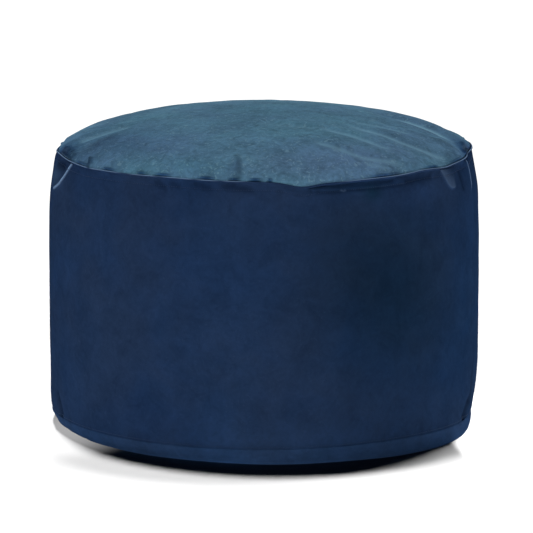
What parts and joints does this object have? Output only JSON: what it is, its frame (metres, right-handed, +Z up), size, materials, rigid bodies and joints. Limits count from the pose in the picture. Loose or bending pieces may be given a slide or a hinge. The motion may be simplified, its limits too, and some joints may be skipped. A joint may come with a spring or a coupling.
{
  "type": "outdoor pouf",
  "caption": "Round filled outdoor pouf: a low drum seat in proofed navy cloth with a crowned top, a rolled top seam and a turned-up flat base.",
  "frame": {"origin": "on the floor, under the middle of the pouf", "axes": "+Z up through the crown; -Y is the front that the picture shows; +X is to the right seen from the front"},
  "size_m": [0.6014, 0.599, 0.4432],
  "materials": {
    "top_cloth": "proofed woven polyester with a soft sheen, slate blue where the light falls on it",
    "wall_cloth": "proofed woven polyester, matt navy",
    "base_cloth": "proofed woven polyester, matt dark navy"
  },
  "bodies": {
    "root": {"top_panel": "top_cloth", "side_panel": "wall_cloth", "base_panel": "base_cloth"}
  },
  "joints": []
}
